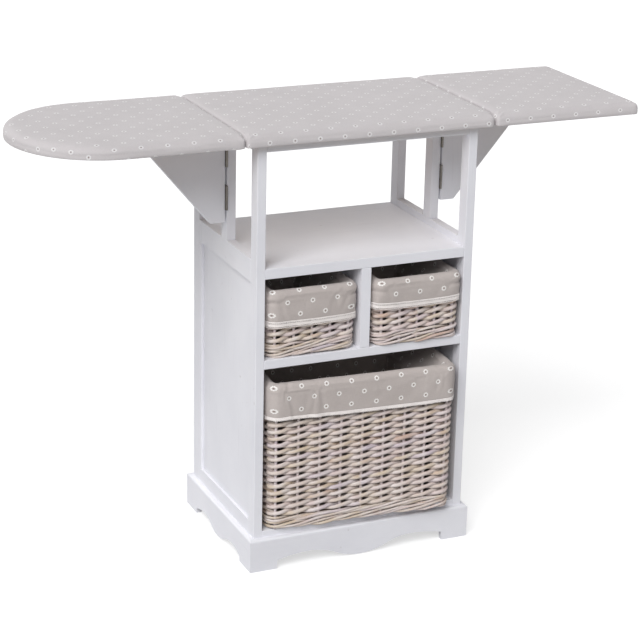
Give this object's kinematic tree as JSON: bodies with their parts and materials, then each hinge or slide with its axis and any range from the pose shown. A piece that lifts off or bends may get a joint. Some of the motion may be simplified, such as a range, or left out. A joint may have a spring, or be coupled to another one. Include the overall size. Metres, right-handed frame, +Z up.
{
  "type": "ironing board cabinet",
  "caption": "White wooden ironing board cabinet with a padded folding board on top held by swinging brackets, an open shelf, and lined wicker laundry baskets below.",
  "frame": {"origin": "on the floor, at the middle of the cabinet", "axes": "+X to the right along the ironing board, +Y to the back of the cabinet, +Z up"},
  "size_m": [1.226, 0.3785, 0.88],
  "materials": {
    "paint": "satin white paint",
    "bare_board": "bare",
    "cover": "woven cotton with printed daisies",
    "liner": "woven cotton with printed daisies",
    "lace": "cotton lace",
    "willow": "whitewashed wicker",
    "hinge": "dull",
    "bumper": "felt"
  },
  "bodies": {
    "cabinet": {"plinth_front": "paint", "plinth_back": "paint", "plinth_left": "paint", "plinth_right": "paint", "floor_board": "paint", "middle_shelf": "paint", "top_shelf": "paint", "divider": "paint", "back_panel": "paint", "post_front_left": "paint", "post_front_right": "paint", "post_rear_left": "paint", "post_rear_right": "paint", "stile_left": "paint", "stile_right": "paint", "post_middle_left": "paint", "post_middle_right": "paint", "panel_left": "paint", "panel_right": "paint", "rail_bottom_left": "paint", "rail_bottom_right": "paint", "rail_shelf_left": "paint", "rail_shelf_right": "paint", "rail_top_front": "paint", "rail_top_back": "paint", "rail_top_left": "paint", "rail_top_right": "paint", "deck": "bare_board", "pad_middle": "cover", "board_plates_left": "hinge", "board_plates_right": "hinge", "bracket_plates_left": "hinge", "bracket_plates_right": "hinge"},
    "leaf_left": {"leaf_left": "bare_board", "pad_left": "cover", "leaf_plates_left": "hinge"},
    "leaf_right": {"leaf_right": "bare_board", "pad_right": "cover", "leaf_plates_right": "hinge"},
    "bracket_left": {"bracket_left": "paint", "bumper_left": "bumper", "swing_plates_left": "hinge"},
    "bracket_right": {"bracket_right": "paint", "bumper_right": "bumper", "swing_plates_right": "hinge"},
    "basket_big": {"weave_big": "willow", "base_big": "willow", "liner_big": "liner", "lace_big": "lace"},
    "basket_small_left": {"weave_small_left": "willow", "base_small_left": "willow", "liner_small_left": "liner", "lace_small_left": "lace"},
    "basket_small_right": {"weave_small_right": "willow", "base_small_right": "willow", "liner_small_right": "liner", "lace_small_right": "lace"}
  },
  "joints": [
    {"name": "leaf_left_hinge", "type": "hinge", "parent": "cabinet", "child": "leaf_left", "pos_m": [-0.2565, -0.0055, 0.8555], "axis": [0, 1, 0], "range_deg": [0, 8]},
    {"name": "leaf_right_hinge", "type": "hinge", "parent": "cabinet", "child": "leaf_right", "pos_m": [0.2565, -0.0055, 0.8555], "axis": [0, -1, 0], "range_deg": [0, 8]},
    {"name": "bracket_left_hinge", "type": "hinge", "parent": "cabinet", "child": "bracket_left", "pos_m": [-0.229, -0.017, 0.7605], "axis": [0, 0, 1], "range_deg": [0, 90]},
    {"name": "bracket_right_hinge", "type": "hinge", "parent": "cabinet", "child": "bracket_right", "pos_m": [0.229, -0.017, 0.7605], "axis": [0, 0, -1], "range_deg": [0, 90]},
    {"name": "basket_big_slide", "type": "slide", "parent": "cabinet", "child": "basket_big", "axis": [0, -1, 0], "range_m": [-0.03, 0.32]},
    {"name": "basket_small_left_slide", "type": "slide", "parent": "cabinet", "child": "basket_small_left", "axis": [0, -1, 0], "range_m": [-0.05, 0.28]},
    {"name": "basket_small_right_slide", "type": "slide", "parent": "cabinet", "child": "basket_small_right", "axis": [0, -1, 0], "range_m": [-0.05, 0.28]}
  ]
}
